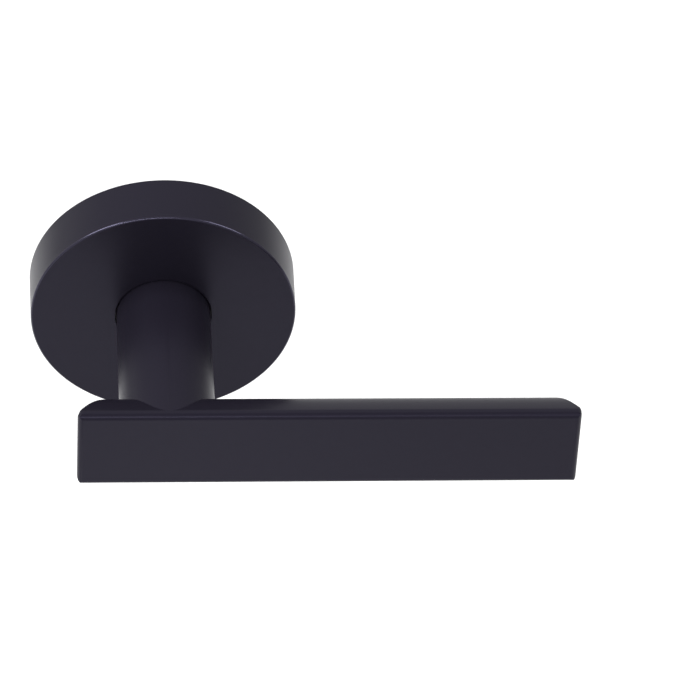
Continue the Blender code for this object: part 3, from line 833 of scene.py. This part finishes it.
@dataclass
class RoseCover:
    """The turned cup over the rose. Sizes are in millimetres."""

    front_r: float = 33.00
    rear_r: float = 33.17
    depth: float = 13.50
    face: float = 1.40
    inner_r: float = 31.50
    groove_r: float = 32.10
    groove_y: float = -6.50
    groove_halves: Pair = (0.70, 1.00)
    edge: float = 0.50
    hole_r: float = 12.00
    hole_edge: float = 0.12
    corner: float = 0.40
    coat: Finish = TurnedCupPowderCoat()

    def profile(self) -> Outline:
        """Draw the cup's wall as a (radius, y) outline."""
        front, inside, corner, hem = -self.depth, self.face - self.depth, self.corner, self.hole_edge
        (floor, mouth), middle = self.groove_halves, self.groove_y
        outline = arc((self.hole_r + hem, front + hem), hem, 180.0, 270.0, 4)
        outline += arc((self.front_r - self.edge, front + self.edge), self.edge, -90.0, 0.0, 8)
        outline += [(self.rear_r, 0.0), (self.inner_r, 0.0)]
        outline += [(self.inner_r, middle + mouth), (self.groove_r, middle + floor)]
        outline += [(self.groove_r, middle - floor), (self.inner_r, middle - mouth)]
        outline += [(self.inner_r, inside + corner), (self.inner_r - corner, inside)]
        return outline + [(self.hole_r, inside)]

    def build(self) -> None:
        """Turn the cup and dress it in its coat."""
        cup = Solid.turned(self.profile(), steps=192)
        cup.release("rose_cap", "rose_cover", Body.COVER, self.coat, "rose_coat")


@dataclass
class SpringCassette:
    """The cast housing with its bushes, driver, return springs and snap ring. Sizes are in millimetres."""

    housing_r: float = 31.20
    front_y: float = -11.80
    web_y: float = -9.80
    rear_y: float = -3.70
    bore_r: float = 12.95
    rim_inner_r: float = 28.80
    channel_r: float = 23.30
    channel_wall_r: float = 24.90
    front_bevel: float = 0.50
    snap_y: float = -6.50
    snap_groove_half: float = 1.00
    snap_groove_r: float = 30.10
    snap_ring_r: float = 31.10
    snap_wire_r: float = 0.70
    snap_opening: float = 7.0
    screw_circle_r: float = 26.90
    boss_r: float = 2.90
    boss_bevel: float = 0.20
    boss_root: float = 0.80
    boss_rear_gap: float = 0.05
    pilot_r: float = 1.30
    pilot_root: float = 0.20
    stop_half: float = 8.0
    stop_r: Pair = (19.60, 24.00)
    lug_r: Pair = (13.00, 19.20)
    lug_rear_y: float = -4.20
    lug_setback: float = 0.05
    tab_r: Pair = (10.70, 13.30)
    tab_rear_y: float = -1.90
    tab_root: float = 1.00
    driver_r: Pair = (6.00, 14.40)
    driver_y: Pair = (-8.60, -5.60)
    key_r: float = 8.72
    key_flat_x: float = 7.62
    spring_arc_r: float = 19.30
    coil_r: float = 2.25
    wire_r: float = 0.50
    spring_y: float = -6.60
    spring_turns: int = 12
    end_squeeze: float = 0.12
    bush_r: float = 11.80
    bush_fit: float = 0.10
    bush_flange_r: float = 14.90
    bush_corner: float = 0.15
    shoulder_y: float = -8.90
    tail_bush_r: Pair = (8.72, 10.40)
    tail_bush_step_r: float = 9.90
    plate_y: Pair = (-3.40, -1.80)
    corner: float = 0.20
    lug_corner: float = 0.25
    gap: float = 0.30
    casting: Finish = DIE_CAST_ZINC
    acetal: Finish = MOULDED_ACETAL
    sintered: Finish = SINTERED_STEEL
    wire: Finish = SPRING_WIRE

    def housing(self) -> None:
        """Cast the housing: front web, rim with the snap ring's groove, bosses and spring stops."""
        low, high = self.snap_y - self.snap_groove_half, self.snap_y + self.snap_groove_half
        bevel = self.front_bevel
        profile = [(self.bore_r, self.front_y), (self.housing_r - bevel, self.front_y)]
        profile += [(self.housing_r, self.front_y + bevel), (self.housing_r, low)]
        profile += [(self.snap_groove_r, low), (self.snap_groove_r, high)]
        profile += [(self.housing_r, high), (self.housing_r, self.rear_y)]
        profile += [(self.rim_inner_r, self.rear_y), (self.rim_inner_r, self.web_y)]
        profile += [(self.channel_wall_r, self.web_y), (self.channel_wall_r, self.rear_y)]
        profile += [(self.channel_r, self.rear_y), (self.channel_r, self.web_y), (self.bore_r, self.web_y)]
        housing = Solid.turned(rounded(profile, self.corner), steps=144)
        low, high, bevel = self.web_y - self.boss_root, self.rear_y - self.boss_rear_gap, self.boss_bevel
        boss = [(0.0, low), (self.boss_r, low), (self.boss_r, high - bevel), (self.boss_r - bevel, high)]
        boss.append((0.0, high))
        centres = quarters(self.screw_circle_r)
        blocks = [Solid.turned(boss, steps=40, centre=centre) for centre in centres]
        for middle in (90.0, -90.0):
            stop = rounded(sector(self.stop_r, middle, self.stop_half), self.lug_corner)
            blocks.append(Solid.extruded(stop, Plane.FRONT, low, high))
        pilots = [circle(centre, self.pilot_r, 32) for centre in centres]
        housing.combine(blocks, Join.ADD).pierce(pilots, self.web_y - self.pilot_root, self.rear_y + PAST)
        housing.release("cast_housing", "spring_housing", Body.ROSE, self.casting, "die_cast_zinc")

    def bushes(self) -> None:
        """Mould the flanged bush round the neck and the stepped one round the tail."""
        outer, flange_r, flange_y = self.bore_r - self.bush_fit, self.bush_flange_r, self.web_y + self.gap
        neck = [(self.bush_r, self.front_y), (outer, self.front_y), (outer, flange_y), (flange_r, flange_y)]
        neck += [(flange_r, self.shoulder_y), (self.bush_r, self.shoulder_y)]
        (inner, outer), step_r, end = self.tail_bush_r, self.tail_bush_step_r, self.plate_y[1]
        front, step = self.driver_y[1] + self.gap, self.plate_y[0] - self.gap
        tail = [(inner, front), (outer, front), (outer, step), (step_r, step), (step_r, end), (inner, end)]
        for node, profile in (("neck_bush", neck), ("tail_bush", tail)):
            made = Solid.turned(rounded(profile, self.bush_corner), steps=128)
            made.release("moulded_" + node, node, Body.ROSE, self.acetal, "acetal")

    def driver(self) -> None:
        """Sinter the driver: keyed hub, two spring lugs and two tabs that stop the turn."""
        front, rear = self.driver_y
        driver = Solid.turned(rounded(band(self.driver_r, self.driver_y), self.corner), steps=128)
        teeth = (
            (self.lug_r, (90.0, -90.0), self.lug_corner, front + self.lug_setback, self.lug_rear_y),
            (self.tab_r, (0.0, 180.0), self.corner, front + self.tab_root, self.tab_rear_y),
        )
        for radii, middles, corner, low, high in teeth:
            outlines = [rounded(sector(radii, middle, self.stop_half), corner) for middle in middles]
            driver.combine([Solid.extruded(each, Plane.FRONT, low, high) for each in outlines], Join.ADD)
        spread = 90.0 - math.degrees(math.acos(self.key_flat_x / self.key_r))
        key = arc((0.0, 0.0), self.key_r, 90.0 - spread, 90.0 + spread, 32)
        key += arc((0.0, 0.0), self.key_r, 270.0 - spread, 270.0 + spread, 32)
        driver.pierce([key], front - PAST, rear + PAST)
        driver.release("keyed_driver", "spring_driver", Body.LEVER, self.sintered, "sintered_steel")

    def spring(self, node: str, middle: float) -> None:
        """Coil one return spring along its arc, with closer coils towards both ends.

        Args:
            node: Frame node that it stands for.
            middle: Angle of the arc's middle in degrees.
        """
        clearance = math.degrees(math.asin((self.wire_r + self.gap) / self.spring_arc_r))
        half = 90.0 - self.stop_half - clearance
        count = self.spring_turns * 30
        centres = []
        for step in range(count + 1):
            t = step / count
            along = middle + half * (2.0 * t - 1.0 - self.end_squeeze * math.sin(2.0 * math.pi * t))
            coil = 2.0 * math.pi * self.spring_turns * t
            x, z = around(self.spring_arc_r + self.coil_r * math.cos(coil), along)
            centres.append(Vector((x, self.spring_y + self.coil_r * math.sin(coil), z)))
        wound = Solid.swept(centres, self.wire_r, 12)
        wound.release("coiled_" + node, node, Body.ROSE, self.wire, "spring_wire")

    def snap_ring(self) -> None:
        """Bend the open wire ring that grips the cover."""
        first, last = -90.0 + self.snap_opening, 270.0 - self.snap_opening
        spots = arc((0.0, 0.0), self.snap_ring_r, first, last, 180)
        ring = Solid.swept([Vector((x, self.snap_y, z)) for x, z in spots], self.snap_wire_r, 16)
        ring.release("bent_snap_ring", "cover_snap_ring", Body.ROSE, self.wire, "spring_wire")

    def build(self) -> None:
        """Build the cassette, piece by piece."""
        self.housing()
        self.bushes()
        self.driver()
        self.spring("return_spring_left", 180.0)
        self.spring("return_spring_right", 0.0)
        self.snap_ring()


@dataclass
class SpindleDrive:
    """The square spindle and the set screw that clamps it in the neck. Sizes are in millimetres."""

    size: float = 7.90
    bevel: float = 0.50
    edge: float = 0.25
    front_y: float = -36.0
    rear_y: float = 30.0
    screw_y: float = -22.0
    screw_r: float = 2.45
    screw_z: Pair = (-10.98, -4.25)
    screw_edge: float = 0.15
    socket_across: float = 2.50
    socket_depth: float = 2.80
    bar: Finish = DRAWN_STEEL_BAR
    oxide: Finish = BLACK_OXIDE_STEEL

    def spindle(self) -> None:
        """Cut the square bar to length."""
        half = self.size / 2.0
        outline = rounded([(half, half), (-half, half), (-half, -half), (half, -half)], self.bevel, steps=5)
        bar = Solid.extruded(outline, Plane.FRONT, self.front_y, self.rear_y)
        bar.release("square_bar", "spindle", Body.LEVER, self.bar, "spindle_bar", self.edge)

    def set_screw(self) -> None:
        """Make the socket set screw, reached from under the neck."""
        (low, high), axis = self.screw_z, (0.0, self.screw_y)
        screw = Solid.extruded(circle(axis, self.screw_r, 48), Plane.TOP, low, high)
        hexagon = circle(axis, self.socket_across / math.sqrt(3.0), 6)
        screw.combine([Solid.extruded(hexagon, Plane.TOP, low - PAST, low + self.socket_depth)], Join.CUT)
        name, node, slot = "socket_set_screw", "spindle_set_screw", "black_oxide_steel"
        screw.release(name, node, Body.LEVER, self.oxide, slot, self.screw_edge)

    def build(self) -> None:
        """Build the spindle and its screw."""
        self.spindle()
        self.set_screw()


@dataclass
class TailRetainer:
    """The thrust washer and open ring that keep the lever in the rose. Sizes are in millimetres."""

    washer_r: Pair = (9.10, 12.20)
    washer_y: Pair = (-1.50, -1.10)
    ring_r: Pair = (8.00, 10.60)
    ring_y: Pair = (-0.80, 0.10)
    ear_r: float = 12.00
    ear_hole_at: float = 10.30
    ear_hole_r: float = 0.65
    ear_span: float = 13.0
    ear_root: float = 1.3
    opening: float = 14.0
    edge: float = 0.08
    plated: Finish = ZINC_PLATED_STEEL
    oxide: Finish = BLACK_OXIDE_STEEL

    def build(self) -> None:
        """Build the washer, then the ring with its two pliers ears."""
        washer = Solid.turned(rounded(band(self.washer_r, self.washer_y), self.edge), steps=96)
        washer.release("flat_thrust_washer", "thrust_washer", Body.LEVER, self.plated, "plated_steel")
        first, last, ear = -90.0 + self.opening, 270.0 - self.opening, self.ear_span
        reach = ear + self.ear_root
        outline = arc((0.0, 0.0), self.ear_r, first, first + ear, 6)
        outline += arc((0.0, 0.0), self.ring_r[1], first + reach, last - reach, 96)
        outline += arc((0.0, 0.0), self.ear_r, last - ear, last, 6)
        outline += arc((0.0, 0.0), self.ring_r[0], last, first, 96)
        front, rear = self.ring_y
        ring = Solid.extruded(outline, Plane.FRONT, front, rear)
        turns = (first + ear / 2.0, last - ear / 2.0)
        holes = [circle(around(self.ear_hole_at, turn), self.ear_hole_r, 24) for turn in turns]
        ring.pierce(holes, front - PAST, rear + PAST)
        slot = "black_oxide_steel"
        ring.release("open_retaining_ring", "retaining_ring", Body.LEVER, self.oxide, slot, self.edge)


@dataclass
class RearFixings:
    """The plate, its screws, the threaded posts and the gasket. Sizes are in millimetres."""

    plate_r: Pair = (10.10, 30.60)
    plate_y: Pair = (-3.40, -1.80)
    plate_corner: float = 0.20
    slot_r: Pair = (10.40, 13.60)
    slot_half: float = 54.5
    screw_circle_r: float = 26.90
    screw_hole_r: float = 1.55
    screw_tip_y: float = -9.40
    screw_turn: float = 22.9183118
    point_taper: float = 0.60
    point_length: float = 0.50
    shank_r: float = 1.20
    head_r: float = 2.60
    head_height: float = 1.15
    head_bevel: float = 0.10
    head_flank: float = 0.50
    recess_arm: float = 1.30
    recess_half: float = 0.28
    recess_floor: float = 0.45
    seat_y: float = -1.50
    post_x: float = 19.0
    post_r: float = 4.00
    post_bevels: Pair = (0.20, 0.50)
    post_shank_r: float = 2.95
    post_shank_fit: float = 0.20
    post_tip_y: float = -3.30
    post_end_y: float = 18.0
    post_bore_r: float = 1.70
    post_mouth: float = 0.40
    post_floor_y: Pair = (3.0, 4.0)
    gasket_r: Pair = (13.70, 30.30)
    gasket_y: Pair = (-1.50, 0.0)
    gasket_corner: float = 0.12
    gasket_fit: float = 0.40
    plated: Finish = ZINC_PLATED_STEEL
    passivated: Finish = YELLOW_PASSIVATED_STEEL
    turned: Finish = TURNED_STEEL
    foam: Finish = FOAM_RUBBER

    def openings(self, post_r: float, screw_r: float, screw_steps: int) -> list[Outline]:
        """Draw the holes that a ring has for the posts and the screws.

        Args:
            post_r: Radius of the holes for the posts.
            screw_r: Radius of the holes for the screws.
            screw_steps: Number of chords round a screw hole.

        Returns:
            The outlines: two for the posts, then four for the screws.
        """
        posts = [circle((side * self.post_x, 0.0), post_r, 48) for side in (-1.0, 1.0)]
        return posts + [circle(centre, screw_r, screw_steps) for centre in quarters(self.screw_circle_r)]

    def plate(self) -> None:
        """Press the plate: bore, two turn slots, post holes and screw holes."""
        plate = Solid.turned(rounded(band(self.plate_r, self.plate_y), self.plate_corner), steps=144)
        holes = self.openings(self.post_shank_r + self.post_shank_fit, self.screw_hole_r, 32)
        holes += [sector(self.slot_r, middle, self.slot_half, steps=40) for middle in (0.0, 180.0)]
        plate.pierce(holes, self.plate_y[0] - PAST, self.plate_y[1] + PAST)
        plate.release("pressed_plate", "mounting_plate", Body.ROSE, self.plated, "plated_steel")

    def screw(self, number: int) -> None:
        """Head one pan head screw and punch its cross recess.

        Args:
            number: Number of the screw, from 1.
        """
        turn = 45.0 + 90.0 * (number - 1)
        centre = around(self.screw_circle_r, turn)
        tip, seat, top = self.screw_tip_y, self.seat_y, self.seat_y + self.head_height
        shank, head, bevel, shoulder = self.shank_r, self.head_r, self.head_bevel, seat + self.head_flank
        profile = [(0.0, tip), (shank * self.point_taper, tip), (shank, tip + self.point_length)]
        profile += [(shank, seat), (head - bevel, seat), (head, seat + bevel), (head, shoulder)]
        dome = arc((0.0, 0.0), 1.0, 15.0, 75.0, 4)
        profile += [(head * x, shoulder + (top - shoulder) * y) for x, y in dome]
        screw = Solid.turned(profile + [(0.0, top)], steps=48, centre=centre)
        slots = []
        for lean in (turn + self.screw_turn * number, turn + self.screw_turn * number + 90.0):
            along, across = Vector(around(1.0, lean)), Vector(around(1.0, lean + 90.0))
            ends = band((-self.recess_arm, self.recess_arm), (-self.recess_half, self.recess_half))
            spots = [Vector(centre) + along * a + across * b for a, b in ends]
            slots.append([(spot.x, spot.y) for spot in spots])
        screw.pierce(slots, seat + self.recess_floor * self.head_height, top + PAST)
        node = f"plate_screw_{number}"
        screw.release(f"pan_head_screw_{number}", node, Body.ROSE, self.passivated, "screw_steel")

    def post(self, node: str, x: float) -> None:
        """Turn one threaded post.

        Args:
            node: Frame node that it stands for.
            x: X of its axis.
        """
        outer, shank, bore = self.post_r, self.post_shank_r, self.post_bore_r
        seat, end = self.seat_y, self.post_end_y
        (seat_bevel, end_bevel), (floor, wall) = self.post_bevels, self.post_floor_y
        tip, mouth = self.post_tip_y, self.post_mouth
        profile = [(0.0, tip), (shank, tip), (shank, seat), (outer - seat_bevel, seat)]
        profile += [(outer, seat + seat_bevel), (outer, end - end_bevel), (outer - end_bevel, end)]
        profile += [(bore + mouth, end), (bore, end - mouth), (bore, wall), (0.0, floor)]
        made = Solid.turned(profile, steps=64, centre=(x, 0.0))
        made.release("turned_" + node, node, Body.ROSE, self.turned, "post_steel")

    def gasket(self) -> None:
        """Punch the soft pad, cleared for the posts and the screw heads."""
        gasket = Solid.turned(rounded(band(self.gasket_r, self.gasket_y), self.gasket_corner), steps=144)
        holes = self.openings(self.post_r + self.gasket_fit, self.head_r + self.gasket_fit, 40)
        gasket.pierce(holes, self.gasket_y[0] - PAST, self.gasket_y[1] + PAST)
        gasket.release("punched_gasket", "door_gasket", Body.ROSE, self.foam, "foam_rubber")

    def build(self) -> None:
        """Build everything behind the housing."""
        self.plate()
        for number in range(1, 5):
            self.screw(number)
        self.post("mounting_post_left", -self.post_x)
        self.post("mounting_post_right", self.post_x)
        self.gasket()


@dataclass(frozen=True)
class Softbox:
    """A rectangular soft light that faces the handle. Places and sizes are in metres."""

    name: str
    place: Triple
    size: Pair
    watts: float

    def hang(self) -> None:
        """Hang the light in the studio."""
        data = bpy.data.lights.new(self.name, "AREA")
        data.shape = "RECTANGLE"
        data.size, data.size_y = self.size
        data.energy = self.watts
        box = bpy.data.objects.new(self.name, data)
        box.location = self.place
        box.rotation_euler = (-Vector(self.place)).to_track_quat("-Z", "Y").to_euler()
        bpy.context.scene.collection.objects.link(box)


@dataclass
class Studio:
    """Plain pale floor, soft light and the camera. Angles are in degrees and lengths in metres.

    The room's sides and heights give its brightness along X and Z, from -1 to 1, with both ends first.
    """

    floor_z: float = -0.45
    floor_size: float = 4.0
    floor_grey: float = 0.80
    floor_roughness: float = 0.90
    azimuth: float = -6.51
    elevation: float = 44.16
    roll: float = 4.35
    distance: float = 1.0416
    lens_mm: float = 213.0
    sensor_mm: float = 36.0
    clip: Pair = (0.05, 20.0)
    aim_right: float = 0.04731
    aim_up: float = -0.01805
    room_strength: float = 1.25
    room_sides: tuple[Pair, ...] = ((-1.0, 0.80), (1.0, 0.35), (-0.6, 0.66), (0.0, 0.62), (0.6, 0.48))
    room_heights: tuple[Pair, ...] = (
        (-1.0, 1.0),
        (1.0, 0.35),
        (-0.1, 1.0),
        (0.12, 1.12),
        (0.45, 0.95),
        (0.72, 1.5),
    )
    softboxes: tuple[Softbox, ...] = (
        Softbox("long_softbox", (-0.5, -1.33, 1.3), (1.5, 0.18), 17.0),
        Softbox("upper_left_softbox", (-1.1, 0.0, 1.1), (0.7, 0.7), 21.0),
        Softbox("upper_right_softbox", (1.1, 0.0, 1.1), (0.7, 0.7), 14.0),
        Softbox("low_softbox", (0.0, -0.40, -0.33), (0.16, 0.12), 0.04),
    )

    def camera(self) -> None:
        """Set up the camera at its view of the handle."""
        turn, tilt, roll = (math.radians(angle) for angle in (self.azimuth, self.elevation, self.roll))
        right = Vector((math.cos(turn), math.sin(turn), 0.0))
        ahead = Vector((-math.sin(turn) * math.cos(tilt), math.cos(turn) * math.cos(tilt), -math.sin(tilt)))
        up = right.cross(ahead)
        cos, sin = math.cos(roll), math.sin(roll)
        right, up = right * cos + up * sin, up * cos - right * sin
        data = bpy.data.cameras.new("camera")
        data.lens = self.lens_mm
        data.sensor_width = self.sensor_mm
        data.clip_start, data.clip_end = self.clip
        camera = bpy.data.objects.new("camera", data)
        place = Matrix((right, up, -ahead)).transposed().to_4x4()
        place.translation = right * self.aim_right + up * self.aim_up - ahead * self.distance
        camera.matrix_world = place
        bpy.context.scene.collection.objects.link(camera)
        bpy.context.scene.camera = camera

    def floor(self) -> None:
        """Lay a wide, plain pale floor."""
        bm = bmesh.new()
        bmesh.ops.create_grid(bm, x_segments=1, y_segments=1, size=self.floor_size)
        mesh = bpy.data.meshes.new("floor")
        bm.to_mesh(mesh)
        bm.free()
        floor = bpy.data.objects.new("floor", mesh)
        floor.location.z = self.floor_z
        paint = bpy.data.materials.new("white_studio_floor_paint")
        paint.use_nodes = True
        shader = paint.node_tree.nodes["Principled BSDF"]
        shader.inputs["Base Color"].default_value = (self.floor_grey, self.floor_grey, self.floor_grey, 1.0)
        shader.inputs["Roughness"].default_value = self.floor_roughness
        mesh.materials.append(paint)
        bpy.context.scene.collection.objects.link(floor)

    def light(self) -> None:
        """Light the scene softly: a pale room, brightest on the left and above, and the softboxes."""
        world = bpy.data.worlds.new("studio")
        world.use_nodes = True
        tree = world.node_tree
        way = add_node(tree, "ShaderNodeTexCoord").outputs["Generated"]
        split = add_node(tree, "ShaderNodeSeparateXYZ", links={"Vector": way})
        shares = {}
        for key, (axis, stops) in enumerate((("X", self.room_sides), ("Z", self.room_heights))):
            along = add_node(tree, "ShaderNodeMapRange", {"From Min": -1.0}, {"Value": split.outputs[axis]})
            ramp = add_node(tree, "ShaderNodeValToRGB", links={"Fac": along.outputs[0]})
            for place, (at, value) in enumerate(stops):
                elements = ramp.color_ramp.elements
                element = elements[place] if place < 2 else elements.new(0.5 + 0.5 * at)
                element.position = 0.5 + 0.5 * at
                element.color = (value, value, value, 1.0)
            shares[key] = ramp.outputs["Color"]
        both = add_node(tree, "ShaderNodeVectorMath", {"operation": "MULTIPLY"}, shares)
        background = tree.nodes["Background"]
        tree.links.new(both.outputs[0], background.inputs["Color"])
        background.inputs["Strength"].default_value = self.room_strength
        bpy.context.scene.world = world
        for softbox in self.softboxes:
            softbox.hang()

    def build(self) -> None:
        """Build the studio."""
        self.floor()
        self.light()
        self.camera()
        bpy.context.scene.view_settings.view_transform = "Standard"


def main() -> None:
    """Build every assembly in order."""
    logging.basicConfig(level=logging.INFO, format="%(message)s")
    assemblies = (LeverHandle, RoseCover, SpringCassette, SpindleDrive, TailRetainer, RearFixings, Studio)
    for assembly in assemblies:
        assembly().build()


if __name__ == "__main__":
    main()
